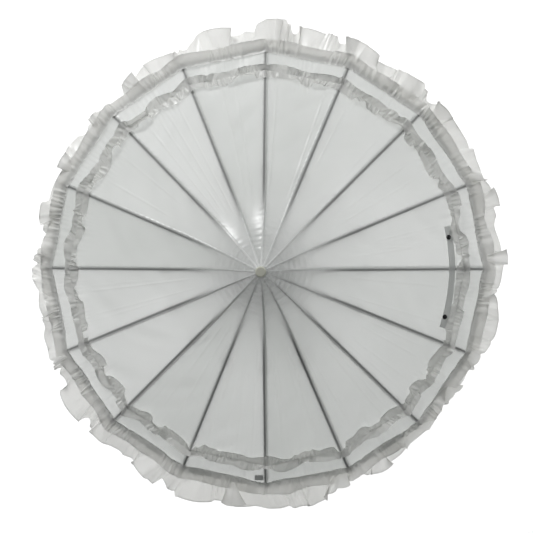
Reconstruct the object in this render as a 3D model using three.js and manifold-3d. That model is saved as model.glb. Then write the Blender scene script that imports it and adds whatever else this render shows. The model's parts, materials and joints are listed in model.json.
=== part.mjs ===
// A sixteen-rib pagoda parasol, open, with a crook handle.
// Millimetres, +Z up the shaft. The origin is on the shaft's axis at the middle of the handle's grip.
import * as THREE from 'three';
import { mergeVertices } from 'three/addons/utils/BufferGeometryUtils.js';
import Module from 'manifold-3d';

const wasm = await Module();
wasm.setup();

// ---- driving dimensions -------------------------------------------------
const RIB_COUNT = 16;
const GAP = 0.3;                 // between pieces that touch on the real object
const RUNNING_GAP = 0.4;         // between the runner and the shaft it slides on

const SHAFT_R = 5;
const SHAFT_WALL = 0.8;
const NOTCH_Z = 660;             // height of the ribs' pivots above the grip's middle
const PIVOT_R = 13;              // pivots of ribs and stretchers from the shaft's axis

const RIB_LENGTH = 431;
const RIB_W = 4;
const RIB_H = 3;
const RIB_PLATE_W = 2.2;         // a rib's eye and its bracket lug
const CHANNEL_OVER_EYE = 0.6;    // clear space between the eyes and the channel above them
const CHANNEL_W = 2.6;
const CHANNEL_DEEP = 2;
const BRACKET_AT = 190;          // from the notch pivot to the stretcher pivot, and the stretcher's length
const OPEN_ANGLE = THREE.MathUtils.degToRad(77);     // rib from straight down, when open
const CLOSED_ANGLE = THREE.MathUtils.degToRad(2);

const STRETCHER_W = 2;
const STRETCHER_H = 2.4;
const CHEEK_W = 0.9;             // each cheek of the stretcher's fork
const FORK_LENGTH = 9;
const EYE_R = 2.1;               // eyes of ribs and stretchers
const PIN_R = 0.7;

const FLANGE_OVER_PIVOT = 2.4;   // flange of notch and runner beyond the pivots
const FLANGE_H = 5.2;
const SLOT_ROOT_CLEAR = 0.4;     // from an eye to the bottom of its slot
const HUB_WALL = 2.9;            // notch and runner between the shaft and the slots
const NOTCH_HUB_H = 17;
const RUNNER_SLEEVE = 36;        // runner below its pivots
const RUNNER_WALL = 2.4;
const RUNNER_NECK = 3;           // runner above its flange
const RUNNER_SHOULDER = 4;       // slope from the flange down to the sleeve
const LIP_PROUD = 2.6;           // thumb ring at the runner's foot
const LIP_H = 2;
const LIP_SLOPE = 3;
const WINDOW_W = 4;

const CATCH_W = 2;
const CATCH_THICK = 1.6;         // a catch's leaf
const CATCH_FOOT_X = -1;         // its foot lies against the far side of the shaft's middle
const CATCH_PROUD = 3.6;         // how far a catch stands out of the shaft
const CATCH_AZIMUTH = -Math.PI / 2;
const TOP_CATCH_STEM = 38;
const TOP_NOSE_H = 14;
const TOP_NOSE_FLAT = 2.5;
const LOW_CATCH_STEM = 34;
const LOW_NOSE_H = 11;
const LOW_NOSE_FLAT = 1.5;
const LOW_BEND = 8;              // where the low catch bends away from the wall, below its nose
const CATCH_TRAVEL = 2;          // room in the shaft's slot above and below a nose
const WINDOW_BELOW_PIVOT = 24;
const WINDOW_H = 14;

const PEAK_H = 78;               // cloth's peak above the rib pivots
const PEAK_R = 8;                // hole at the cloth's peak
const LAY_R = 195;               // where the cloth comes down on to the ribs
const PEAK_POWER = 3.2;          // how sharply the cone rises to the peak
const CONE_RINGS = 7;
const CLOTH = 1.2;
const CLOTH_CLEAR = 0.8;         // cloth above the ribs
const HEM_OVER_TIP = 1;          // hem beyond the ribs' tips
const GORE_SAG = 4;
const FRILL_OUT = 44;            // hem frill beyond the hem
const FRILL_DROP = 13;
const FRILL_THICK = 5;
const FRILL_SLOPE = 5;           // over which a frill rises to its thickness
const BAND_TO_HEM = 30;          // from the upper frill's outer edge to the hem
const BAND_WIDTH = 34;
const BAND_THICK = 4;
const PANEL_GAP = 0.4;

const FERRULE_R = 4.5;
const FERRULE_FOOT_PROUD = 1.4;  // its foot beyond the shaft it stands on
const FERRULE_FOOT_H = 3;
const FERRULE_SLOPE = 5;
const PLUG_LENGTH = 20;
const CAP_R = 10;
const CAP_H = 12;
const CAP_SOCKET = 6;
const CAP_BEVEL = 2.4;
const CAP_OVER_PEAK = 2.3;       // clear space from the cloth's peak to the cap

const GRIP_R = 9;
const GRIP_LENGTH = 110;
const CROOK_R = 34;
const CROOK_RETURN = 22;
const SHAFT_IN_GRIP = 45;
const END_ROUNDNESS = 0.98;      // ball end of the crook, as a share of the grip's radius
const COLLAR_H = 15;
const COLLAR_PROUD = 0.6;        // collar beyond the grip
const COLLAR_STEP = 1.8;
const COLLAR_TOP_WALL = 1.3;
const COLLAR_BAND_H = 3;

const STRAP_TO_BAND = 2;         // from the closing strap to the upper frill
const STRAP_TURN = THREE.MathUtils.degToRad(-2.5);   // its middle round from the first rib
const STRAP_W = 12;
const STRAP_LENGTH = 200;
const STRAP_THICK = 1;
const STRAP_CLEAR = 0.5;
const SNAP_R = 5;
const SNAP_H = 2.2;
const SNAP_INSET = 22;           // snap's middle from the strap's end

const ROUND = 20;                // facets round a turned piece
const CROOK_STEPS = 24;
const STRAP_STEPS = 20;
const QUARTER_PULL = 0.5523;     // Bezier handle, as a share of the radius, that makes a quarter circle

// ---- colours and surfaces -------------------------------------------------
const finish = (color, roughness, metalness) =>
  new THREE.MeshStandardMaterial({ color, roughness, metalness });
const SATIN = finish(0xd9dcd8, 0.45, 0);
const DARK_STEEL = finish(0x4a4c4d, 0.4, 0.8);
const BRIGHT_STEEL = finish(0xc9cccd, 0.25, 1);
const WHITE_PLASTIC = finish(0xe9e8e1, 0.35, 0);
const CREAM_PLASTIC = finish(0xd8dacb, 0.4, 0);
const BLACK_STUD = finish(0x1c1c1e, 0.35, 0.6);

// ---- helpers --------------------------------------------------------------
function toSolid(geometry) {
  const plain = geometry.index ? geometry.toNonIndexed() : geometry.clone();
  plain.deleteAttribute('normal');
  plain.deleteAttribute('uv');
  const merged = mergeVertices(plain, 1e-4);
  return new wasm.Manifold(new wasm.Mesh({
    numProp: 3,
    vertProperties: new Float32Array(merged.attributes.position.array),
    triVerts: new Uint32Array(merged.index.array),
  }));
}

function toGeometry(solid) {
  const { vertProperties, triVerts } = solid.getMesh();
  const geometry = new THREE.BufferGeometry();
  geometry.setAttribute('position', new THREE.BufferAttribute(new Float32Array(vertProperties), 3));
  geometry.setIndex(new THREE.BufferAttribute(new Uint32Array(triVerts), 1));
  geometry.computeVertexNormals();
  return geometry;
}

const cut = (geometry, ...tools) =>
  toGeometry(tools.reduce((left, tool) => left.subtract(toSolid(tool)), toSolid(geometry)));

const join = (...geometries) =>
  toGeometry(geometries.map(toSolid).reduce((sum, solid) => sum.add(solid)));

// A box given by its lowest and highest corners.
function block(low, high) {
  const size = high.map((value, i) => value - low[i]);
  const middle = high.map((value, i) => (value + low[i]) / 2);
  return new THREE.BoxGeometry(...size).translate(...middle);
}

// A ring or tube turned about the Z axis from a closed outline of [radius, height] points.
function turned(points, segments = RIB_COUNT) {
  const outline = points.map(([r, z]) => new THREE.Vector2(r, z));
  outline.push(outline[0].clone());
  return new THREE.LatheGeometry(outline, segments).rotateX(Math.PI / 2);
}

// A plate with its outline in the radial plane (x outwards, z up), of even thickness across it.
function plate(shape, thickness, curveSegments = 3) {
  return new THREE.ExtrudeGeometry(shape, { depth: thickness, bevelEnabled: false, curveSegments })
    .translate(0, 0, -thickness / 2)
    .rotateX(Math.PI / 2);
}

function pinHole(x, y) {
  const hole = new THREE.Path();
  hole.absarc(x, y, PIN_R, 0, 2 * Math.PI, true);
  return hole;
}

const parasol = new THREE.Group();

function addPiece(name, geometry, material, azimuth = 0) {
  const mesh = new THREE.Mesh(geometry, material);
  mesh.name = name;
  mesh.rotation.z = azimuth;
  parasol.add(mesh);
}

const numbered = (name, i) => `${name}_${String(i + 1).padStart(2, '0')}`;
const ribAzimuth = (i) => (i * 2 * Math.PI) / RIB_COUNT;

// ---- where the linkage stands ---------------------------------------------
// Notch pivot, bracket and runner pivot are an upright triangle with two equal sides,
// so the runner travels straight along the shaft as the ribs fold.
const runnerDrop = (angle) => 2 * BRACKET_AT * Math.cos(angle);
const RUNNER_Z = NOTCH_Z - runnerDrop(OPEN_ANGLE);
const RUNNER_CLOSED_Z = NOTCH_Z - runnerDrop(CLOSED_ANGLE);
const RIB_DIP = Math.PI / 2 - OPEN_ANGLE;            // open ribs slope down by this
const RIB_OFFSET = EYE_R + CHANNEL_OVER_EYE + RIB_H / 2;   // from a rib's pivots up to its channel's middle
const FLANGE_R = PIVOT_R + FLANGE_OVER_PIVOT;
const SLOT_ROOT_R = PIVOT_R - EYE_R - SLOT_ROOT_CLEAR;
const HUB_R = SHAFT_R + GAP + HUB_WALL;

// ---- where the cloth's edges lie --------------------------------------------
const HEM_R = PIVOT_R + RIB_LENGTH * Math.sin(OPEN_ANGLE) + HEM_OVER_TIP;
const BAND_OUT_R = HEM_R - BAND_TO_HEM;              // upper frill
const BAND_IN_R = BAND_OUT_R - BAND_WIDTH;
const STRAP_R = BAND_IN_R - STRAP_TO_BAND - STRAP_W / 2;
const FERRULE_TOP = PEAK_H + CAP_OVER_PEAK + CAP_SOCKET - GAP;

// ---- ribs and stretchers ----------------------------------------------------
// The outline's x runs from the notch pivot along the rib, and its y points away from the stretcher.
function ribGeometry() {
  const low = RIB_OFFSET - RIB_H / 2;
  const high = RIB_OFFSET + RIB_H / 2;
  const web = low + CHANNEL_DEEP + (RIB_H - CHANNEL_DEEP) / 2;
  const eye = new THREE.Shape();
  eye.absarc(0, 0, EYE_R, Math.PI * 0.6, Math.PI * 1.7, false);
  eye.lineTo(3.4 * EYE_R, low);
  eye.lineTo(5 * EYE_R, low);
  eye.lineTo(5 * EYE_R, web);
  eye.lineTo(2.6 * EYE_R, web);
  eye.closePath();
  eye.holes.push(pinHole(0, 0));

  const lug = new THREE.Shape();
  lug.moveTo(BRACKET_AT - EYE_R, web);
  lug.lineTo(BRACKET_AT - EYE_R, 0);
  lug.absarc(BRACKET_AT, 0, EYE_R, Math.PI, 2 * Math.PI, false);
  lug.lineTo(BRACKET_AT + EYE_R, web);
  lug.closePath();
  lug.holes.push(pinHole(BRACKET_AT, 0));

  const start = 4 * EYE_R;
  const channel = cut(
    block([start, -RIB_W / 2, low], [RIB_LENGTH, RIB_W / 2, high]),
    block([start + EYE_R, -CHANNEL_W / 2, low - 1], [RIB_LENGTH + 1, CHANNEL_W / 2, low + CHANNEL_DEEP]),
  );
  return join(plate(eye, RIB_PLATE_W), channel, plate(lug, RIB_PLATE_W))
    .rotateY(RIB_DIP)
    .translate(PIVOT_R, 0, NOTCH_Z);
}

// The outline's x runs from the bracket pivot to the runner pivot.
function stretcherGeometry() {
  const half = STRETCHER_H / 2;
  const slotEnd = 2 * EYE_R;
  const bar = new THREE.Shape();
  bar.moveTo(slotEnd, -half);
  bar.lineTo(BRACKET_AT - EYE_R, -half);
  bar.absarc(BRACKET_AT, 0, EYE_R, Math.PI * 1.2, Math.PI * 2.8, false);
  bar.lineTo(BRACKET_AT - EYE_R, half);
  bar.lineTo(slotEnd, half);
  bar.closePath();
  bar.holes.push(pinHole(BRACKET_AT, 0));

  const cheeks = new THREE.Shape();
  cheeks.absarc(0, 0, EYE_R, Math.PI / 2, Math.PI * 1.5, false);
  cheeks.lineTo(FORK_LENGTH, -half);
  cheeks.lineTo(FORK_LENGTH, half);
  cheeks.closePath();
  cheeks.holes.push(pinHole(0, 0));
  const slotHalf = RIB_PLATE_W / 2 + GAP;
  const fork = cut(
    plate(cheeks, 2 * (slotHalf + CHEEK_W)),
    block([-2 * EYE_R, -slotHalf, -2 * EYE_R], [slotEnd, slotHalf, 2 * EYE_R]),
  );
  const bracket = new THREE.Vector3(BRACKET_AT, 0, 0).applyAxisAngle(new THREE.Vector3(0, 1, 0), RIB_DIP);
  return join(plate(bar, STRETCHER_W), fork)
    .rotateY(Math.PI - RIB_DIP)
    .translate(PIVOT_R + bracket.x, 0, NOTCH_Z + bracket.z);
}

// ---- notch, runner, shaft and catches ---------------------------------------
// Radial slots through a flange, one for each eye.
function flangeSlots(eyeWidth, z) {
  const half = eyeWidth / 2 + GAP;
  return Array.from({ length: RIB_COUNT }, (_, i) =>
    block([SLOT_ROOT_R, -half, z - FLANGE_H], [FLANGE_R + 2, half, z + FLANGE_H]).rotateZ(ribAzimuth(i)));
}

function notchGeometry() {
  const bore = SHAFT_R + GAP;
  const half = FLANGE_H / 2;
  const hub = turned([
    [bore, -NOTCH_HUB_H / 2], [HUB_R, -NOTCH_HUB_H / 2], [SLOT_ROOT_R, -half], [FLANGE_R, -half],
    [FLANGE_R, half], [SLOT_ROOT_R, half], [HUB_R, NOTCH_HUB_H / 2], [bore, NOTCH_HUB_H / 2],
  ]).translate(0, 0, NOTCH_Z);
  return cut(hub, ...flangeSlots(RIB_PLATE_W, NOTCH_Z));
}

function runnerGeometry() {
  const bore = SHAFT_R + RUNNING_GAP;
  const outer = bore + RUNNER_WALL;
  const half = FLANGE_H / 2;
  const foot = -RUNNER_SLEEVE;
  const sleeve = turned([
    [bore, foot], [outer + LIP_PROUD, foot], [outer + LIP_PROUD, foot + LIP_H],
    [outer, foot + LIP_H + LIP_SLOPE], [outer, -half - RUNNER_SHOULDER], [SLOT_ROOT_R, -half],
    [FLANGE_R, -half], [FLANGE_R, half], [SLOT_ROOT_R, half], [HUB_R, half + RUNNER_NECK], [bore, half + RUNNER_NECK],
  ]).translate(0, 0, RUNNER_Z);
  const window = block(
    [0, -WINDOW_W / 2, RUNNER_Z - WINDOW_BELOW_PIVOT],
    [outer + 1, WINDOW_W / 2, RUNNER_Z - WINDOW_BELOW_PIVOT + WINDOW_H],
  ).rotateZ(CATCH_AZIMUTH);
  return cut(sleeve, ...flangeSlots(STRETCHER_W, RUNNER_Z), window);
}

const TOP_CATCH_Z = RUNNER_Z - RUNNER_SLEEVE - GAP;
const LOW_CATCH_Z = RUNNER_CLOSED_Z - WINDOW_BELOW_PIVOT + (WINDOW_H - LOW_NOSE_H) / 2;
const SHAFT_TOP = NOTCH_Z + NOTCH_HUB_H / 2;
const SHAFT_FOOT = GRIP_LENGTH / 2 - SHAFT_IN_GRIP;

function shaftGeometry() {
  const inner = SHAFT_R - SHAFT_WALL;
  const tube = turned([
    [inner, SHAFT_FOOT], [SHAFT_R, SHAFT_FOOT], [SHAFT_R, SHAFT_TOP], [inner, SHAFT_TOP],
  ], ROUND);
  const half = CATCH_W / 2 + GAP;
  const slot = (from, to) => block([1, -half, from], [SHAFT_R + 1, half, to]).rotateZ(CATCH_AZIMUTH);
  return cut(
    tube,
    slot(TOP_CATCH_Z - TOP_NOSE_H - CATCH_TRAVEL, TOP_CATCH_Z + CATCH_TRAVEL / 2),
    slot(LOW_CATCH_Z - LOW_BEND - CATCH_TRAVEL / 2, LOW_CATCH_Z + LOW_NOSE_H + CATCH_TRAVEL),
  );
}

function polygonPlate(points, thickness, z) {
  const shape = new THREE.Shape(points.map(([x, y]) => new THREE.Vector2(x, y)));
  return plate(shape, thickness).translate(0, 0, z);
}

// A leaf spring in the shaft: its foot is held, and its nose stands out under the open runner.
function topCatchGeometry() {
  const proud = SHAFT_R + CATCH_PROUD;
  const inside = SHAFT_R - SHAFT_WALL;
  return polygonPlate([
    [CATCH_FOOT_X, -TOP_CATCH_STEM], [CATCH_FOOT_X + CATCH_THICK, -TOP_CATCH_STEM], [inside, -TOP_NOSE_H - 1],
    [proud, -TOP_NOSE_FLAT], [proud, 0], [inside - CATCH_THICK, 0], [inside - CATCH_THICK, -TOP_NOSE_H],
  ], CATCH_W, TOP_CATCH_Z);
}

// Its nose is flat below, and holds the closed runner by the window in its sleeve.
function bottomCatchGeometry() {
  const proud = SHAFT_R + CATCH_PROUD;
  const inside = SHAFT_R - SHAFT_WALL;
  return polygonPlate([
    [CATCH_FOOT_X, -LOW_CATCH_STEM], [CATCH_FOOT_X + CATCH_THICK, -LOW_CATCH_STEM], [inside, -LOW_BEND],
    [inside, 0], [proud, 0], [proud, LOW_NOSE_FLAT], [inside + CATCH_THICK / 4, LOW_NOSE_H],
    [inside - CATCH_THICK, LOW_NOSE_H], [inside - CATCH_THICK, -LOW_BEND],
  ], CATCH_W, LOW_CATCH_Z);
}

// ---- ferrule and cap ---------------------------------------------------------
function ferruleGeometry() {
  const foot = SHAFT_TOP + GAP;
  const plugR = SHAFT_R - SHAFT_WALL - GAP;
  const footR = SHAFT_R + FERRULE_FOOT_PROUD;
  const footTop = foot + FERRULE_FOOT_H;
  return new THREE.LatheGeometry([
    [0, foot - PLUG_LENGTH], [plugR, foot - PLUG_LENGTH], [plugR, foot], [footR, foot],
    [footR, footTop], [FERRULE_R, footTop + FERRULE_SLOPE], [FERRULE_R, NOTCH_Z + FERRULE_TOP],
    [0, NOTCH_Z + FERRULE_TOP],
  ].map(([r, z]) => new THREE.Vector2(r, z)), ROUND).rotateX(Math.PI / 2);
}

function capGeometry() {
  const roof = NOTCH_Z + FERRULE_TOP + GAP;
  const foot = roof - CAP_SOCKET;
  const top = foot + CAP_H;
  const socket = FERRULE_R + GAP;
  const soft = CAP_BEVEL * 0.3;                      // the middle of the rounded edge
  return new THREE.LatheGeometry([
    [0, roof], [socket, roof], [socket, foot], [CAP_R - 1, foot], [CAP_R, foot + 1],
    [CAP_R, top - CAP_BEVEL], [CAP_R - soft, top - soft], [CAP_R - CAP_BEVEL, top], [0, top],
  ].map(([r, z]) => new THREE.Vector2(r, z)), ROUND).rotateX(Math.PI / 2);
}

// ---- handle ------------------------------------------------------------------
// The grip's middle line: down the axis, round the crook, and up again.
function crookPath() {
  const path = new THREE.CurvePath();
  const foot = -GRIP_LENGTH / 2;
  const bottom = foot - CROOK_R;
  const at = (x, z) => new THREE.Vector3(x, 0, z);
  const pull = CROOK_R * QUARTER_PULL;
  path.add(new THREE.LineCurve3(at(0, GRIP_LENGTH / 2), at(0, foot)));
  path.add(new THREE.CubicBezierCurve3(
    at(0, foot), at(0, foot - pull), at(CROOK_R - pull, bottom), at(CROOK_R, bottom)));
  path.add(new THREE.CubicBezierCurve3(
    at(CROOK_R, bottom), at(CROOK_R + pull, bottom), at(2 * CROOK_R, foot - pull), at(2 * CROOK_R, foot)));
  path.add(new THREE.LineCurve3(at(2 * CROOK_R, foot), at(2 * CROOK_R, foot + CROOK_RETURN)));
  return path;
}

function handleGeometry() {
  const section = new THREE.Shape();
  section.absarc(0, 0, GRIP_R, 0, 2 * Math.PI, false);
  const crook = new THREE.ExtrudeGeometry(section, {
    steps: CROOK_STEPS, curveSegments: ROUND / 4, bevelEnabled: false, extrudePath: crookPath(),
  });
  const boreDeep = SHAFT_IN_GRIP + GAP;
  const bore = new THREE.CylinderGeometry(SHAFT_R + GAP, SHAFT_R + GAP, boreDeep + 1, ROUND)
    .rotateX(Math.PI / 2)
    .translate(0, 0, GRIP_LENGTH / 2 - boreDeep / 2 + 0.5);
  const end = new THREE.SphereGeometry(GRIP_R * END_ROUNDNESS, 12, 7)
    .rotateX(Math.PI / 2)
    .translate(2 * CROOK_R, 0, CROOK_RETURN - GRIP_LENGTH / 2);
  return cut(join(crook, end), bore);
}

function collarGeometry() {
  const foot = GRIP_LENGTH / 2 + GAP;
  const bore = SHAFT_R + GAP;
  const outer = GRIP_R + COLLAR_PROUD;
  const bandTop = foot + COLLAR_BAND_H;
  const top = foot + COLLAR_H;
  return turned([
    [bore, foot], [outer, foot], [outer, bandTop], [outer - COLLAR_STEP, bandTop + COLLAR_STEP],
    [outer - COLLAR_STEP, top - COLLAR_STEP], [bore + COLLAR_TOP_WALL, top], [bore, top],
  ], ROUND);
}

// ---- cloth -------------------------------------------------------------------
// Height of the cloth's underside over a rib, by the distance from the axis.
function clothHeight(r) {
  const overRib = RIB_OFFSET + RIB_H / 2 + CLOTH_CLEAR;
  const onRibs = NOTCH_Z + overRib / Math.sin(OPEN_ANGLE) - (r - PIVOT_R) / Math.tan(OPEN_ANGLE);
  const atPeak = NOTCH_Z + overRib / Math.sin(OPEN_ANGLE) - (PEAK_R - PIVOT_R) / Math.tan(OPEN_ANGLE);
  const lift = NOTCH_Z + PEAK_H - CLOTH - atPeak;
  const share = Math.min(1, (r - PEAK_R) / (LAY_R - PEAK_R));
  const beyond = Math.max(0, (r - HEM_R) / FRILL_OUT);
  const frillFall = FRILL_DROP * beyond ** 2;
  return onRibs + lift * (1 - share) ** PEAK_POWER - frillFall;
}

// A raised stretch between two radii, with a short slope at each side.
function raised(r, from, to, height) {
  const share = Math.min(1, Math.max(0, Math.min((r - from) / FRILL_SLOPE, (to - r) / FRILL_SLOPE)));
  return height * share;
}

const clothThickness = (r) => CLOTH
  + raised(r, BAND_IN_R, BAND_OUT_R, BAND_THICK - CLOTH)
  + raised(r, HEM_R, HEM_R + 2 * FRILL_OUT, FRILL_THICK - CLOTH);

// One point of a panel that is centred on its rib. across runs from -1 to 1, from mid-gore to mid-gore.
function clothPoint(r, across, lift) {
  const halfAngle = Math.PI / RIB_COUNT;
  const side = Math.abs(across);
  const halfChord = r * Math.sin(halfAngle) * Math.cos(halfAngle) - PANEL_GAP / 2;
  const x = r * (1 - side * Math.sin(halfAngle) ** 2);
  const y = across * halfChord;
  const spread = Math.min(1, (r - PEAK_R) / (LAY_R - PEAK_R));
  const sag = GORE_SAG * spread * (1 - (1 - side) ** 2);
  const step = 1;
  const slope = (clothHeight(r + step) - clothHeight(r)) / step;
  const normal = new THREE.Vector2(-slope, 1).normalize();
  const out = Math.hypot(x, y);
  const scale = 1 + (lift * normal.x) / out;
  return new THREE.Vector3(x * scale, y * scale, clothHeight(r) - sag + lift * normal.y);
}

// The rings lie closer together towards the peak, where the cloth is steep.
const coneRing = (_, i) => PEAK_R + (LAY_R - PEAK_R) * (i / CONE_RINGS) ** 2;
const CLOTH_RINGS = [
  ...Array.from({ length: CONE_RINGS + 1 }, coneRing), (LAY_R + BAND_IN_R) / 2,
  BAND_IN_R, BAND_IN_R + FRILL_SLOPE, BAND_OUT_R - FRILL_SLOPE, BAND_OUT_R,
  HEM_R, HEM_R + FRILL_SLOPE, HEM_R + FRILL_OUT / 2, HEM_R + FRILL_OUT,
];
const CLOTH_COLUMNS = [-1, 0, 1];

// A closed skin over a grid of points: outer face, inner face and the four edges.
function skin(rows, columns, point) {
  const positions = [];
  const vertex = (i, j, face) => (face * rows + i) * columns + j;
  for (const face of [0, 1]) {
    for (let i = 0; i < rows; i += 1) {
      for (let j = 0; j < columns; j += 1) positions.push(...point(i, j, face).toArray());
    }
  }
  const index = [];
  const quad = (a, b, c, d) => index.push(a, b, c, a, c, d);
  for (let i = 0; i + 1 < rows; i += 1) {
    for (let j = 0; j + 1 < columns; j += 1) {
      quad(vertex(i, j, 1), vertex(i + 1, j, 1), vertex(i + 1, j + 1, 1), vertex(i, j + 1, 1));
      quad(vertex(i, j, 0), vertex(i, j + 1, 0), vertex(i + 1, j + 1, 0), vertex(i + 1, j, 0));
    }
    const last = columns - 1;
    quad(vertex(i, 0, 0), vertex(i + 1, 0, 0), vertex(i + 1, 0, 1), vertex(i, 0, 1));
    quad(vertex(i, last, 1), vertex(i + 1, last, 1), vertex(i + 1, last, 0), vertex(i, last, 0));
  }
  for (let j = 0; j + 1 < columns; j += 1) {
    const last = rows - 1;
    quad(vertex(0, j, 1), vertex(0, j + 1, 1), vertex(0, j + 1, 0), vertex(0, j, 0));
    quad(vertex(last, j, 0), vertex(last, j + 1, 0), vertex(last, j + 1, 1), vertex(last, j, 1));
  }
  const geometry = new THREE.BufferGeometry();
  geometry.setAttribute('position', new THREE.Float32BufferAttribute(positions, 3));
  geometry.setIndex(index);
  geometry.computeVertexNormals();
  return geometry;
}

function panelGeometry() {
  return skin(CLOTH_RINGS.length, CLOTH_COLUMNS.length, (i, j, face) => {
    const r = CLOTH_RINGS[i];
    return clothPoint(r, CLOTH_COLUMNS[j], face * clothThickness(r));
  });
}

// ---- closing strap -------------------------------------------------------------
// The cloth's height at any angle, over the flat chords between the ribs.
function clothAround(r, angle) {
  const halfAngle = Math.PI / RIB_COUNT;
  const pitch = 2 * halfAngle;
  const fromMiddle = Math.abs(((angle % pitch) + pitch) % pitch - halfAngle);
  return clothHeight(r * Math.cos(fromMiddle) / Math.cos(halfAngle));
}

function strapGeometry() {
  const columns = STRAP_STEPS + 1;
  const reach = STRAP_LENGTH / 2 / STRAP_R;
  return skin(2, columns, (i, j, face) => {
    const angle = STRAP_TURN + reach * (2 * j / STRAP_STEPS - 1);
    const r = STRAP_R + (i - 0.5) * STRAP_W;
    const z = clothAround(r, angle) + CLOTH + STRAP_CLEAR + face * STRAP_THICK;
    return new THREE.Vector3(r * Math.cos(angle), r * Math.sin(angle), z);
  });
}

// A press stud's half, lying on the strap near one of its ends.
function snapGeometry(side) {
  const angle = STRAP_TURN + side * (STRAP_LENGTH / 2 - SNAP_INSET) / STRAP_R;
  const z = clothAround(STRAP_R, angle) + CLOTH + STRAP_CLEAR + STRAP_THICK + GAP;
  return new THREE.CylinderGeometry(SNAP_R * 0.8, SNAP_R, SNAP_H, 16)
    .rotateX(Math.PI / 2)
    .rotateY(RIB_DIP)
    .translate(STRAP_R, 0, z + SNAP_H / 2 + SNAP_R * Math.sin(RIB_DIP) * 0.15)
    .rotateZ(angle);
}

// ---- assembly ------------------------------------------------------------------
function addFrame() {
  addPiece('shaft', shaftGeometry(), BRIGHT_STEEL);
  addPiece('top_notch', notchGeometry(), WHITE_PLASTIC);
  addPiece('runner', runnerGeometry(), WHITE_PLASTIC);
  addPiece('top_catch', topCatchGeometry(), BRIGHT_STEEL, CATCH_AZIMUTH);
  addPiece('bottom_catch', bottomCatchGeometry(), BRIGHT_STEEL, CATCH_AZIMUTH);
  addPiece('ferrule', ferruleGeometry(), BRIGHT_STEEL);
  addPiece('ferrule_cap', capGeometry(), CREAM_PLASTIC);
  addPiece('handle', handleGeometry(), WHITE_PLASTIC);
  addPiece('handle_collar', collarGeometry(), BRIGHT_STEEL);
}

function addRibsAndCloth() {
  const rib = ribGeometry();
  const stretcher = stretcherGeometry();
  const panel = panelGeometry();
  for (let i = 0; i < RIB_COUNT; i += 1) {
    addPiece(numbered('rib', i), rib, DARK_STEEL, ribAzimuth(i));
    addPiece(numbered('stretcher', i), stretcher, DARK_STEEL, ribAzimuth(i));
    addPiece(numbered('canopy_panel', i), panel, SATIN, ribAzimuth(i));
  }
}

function addStrap() {
  addPiece('closing_strap', strapGeometry(), SATIN);
  addPiece('snap_stud', snapGeometry(1), BLACK_STUD);
  addPiece('snap_socket', snapGeometry(-1), BLACK_STUD);
}

addFrame();
addRibsAndCloth();
addStrap();

export default parasol;
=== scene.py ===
# %% [markdown]
# # A pagoda parasol in satin
# This lesson dresses the frame of an open sixteen-rib pagoda parasol: a satin cover drawn up to a peak,
# gathered frills round its edge, rib tips, hinge wires and the finishes of steel and plastic. The frame
# comes from CAD at its real size, so every place below is read from it, in metres.

# %% Load the frame
import json
import math
import bmesh
import bpy
import numpy as np
from mathutils import Matrix, Vector

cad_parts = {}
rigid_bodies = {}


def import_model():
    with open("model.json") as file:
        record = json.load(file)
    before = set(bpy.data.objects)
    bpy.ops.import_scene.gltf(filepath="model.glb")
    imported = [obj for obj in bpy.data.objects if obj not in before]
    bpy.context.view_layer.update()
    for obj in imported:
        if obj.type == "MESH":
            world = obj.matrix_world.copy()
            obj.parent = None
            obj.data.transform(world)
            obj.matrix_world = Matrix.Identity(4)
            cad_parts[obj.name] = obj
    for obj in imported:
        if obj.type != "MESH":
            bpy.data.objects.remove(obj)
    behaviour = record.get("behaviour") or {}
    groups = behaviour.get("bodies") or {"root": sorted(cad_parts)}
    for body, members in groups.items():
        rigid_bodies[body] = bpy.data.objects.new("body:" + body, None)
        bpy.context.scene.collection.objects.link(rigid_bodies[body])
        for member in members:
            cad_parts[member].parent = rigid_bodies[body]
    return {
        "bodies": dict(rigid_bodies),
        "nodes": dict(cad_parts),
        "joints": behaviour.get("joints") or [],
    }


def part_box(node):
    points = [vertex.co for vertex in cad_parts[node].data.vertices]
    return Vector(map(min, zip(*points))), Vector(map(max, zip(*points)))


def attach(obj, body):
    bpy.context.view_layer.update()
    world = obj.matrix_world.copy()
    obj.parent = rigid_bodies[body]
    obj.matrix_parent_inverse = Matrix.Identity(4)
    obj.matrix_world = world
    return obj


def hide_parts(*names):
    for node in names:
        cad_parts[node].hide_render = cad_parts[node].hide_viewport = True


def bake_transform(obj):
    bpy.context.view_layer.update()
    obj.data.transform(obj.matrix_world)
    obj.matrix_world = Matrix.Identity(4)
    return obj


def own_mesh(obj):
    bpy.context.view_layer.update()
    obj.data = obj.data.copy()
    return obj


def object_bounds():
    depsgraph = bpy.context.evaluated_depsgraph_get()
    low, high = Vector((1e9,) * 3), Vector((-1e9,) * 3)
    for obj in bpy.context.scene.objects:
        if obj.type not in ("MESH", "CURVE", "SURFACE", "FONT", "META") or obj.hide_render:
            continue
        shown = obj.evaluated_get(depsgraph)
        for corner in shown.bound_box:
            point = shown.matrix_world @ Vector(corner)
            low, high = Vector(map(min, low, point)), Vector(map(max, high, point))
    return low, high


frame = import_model()
cad_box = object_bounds()
MM = 0.001
print("CAD box, m:", [[round(c, 3) for c in corner] for corner in cad_box])

# %% [markdown]
# ## Where things are
# The ribs hinge in a notch near the top of the shaft, and each carries its share of the cover. Rather
# than typing places in, the hinge pins' places are read from the joints and the rest from the boxes of
# the nodes.

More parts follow.
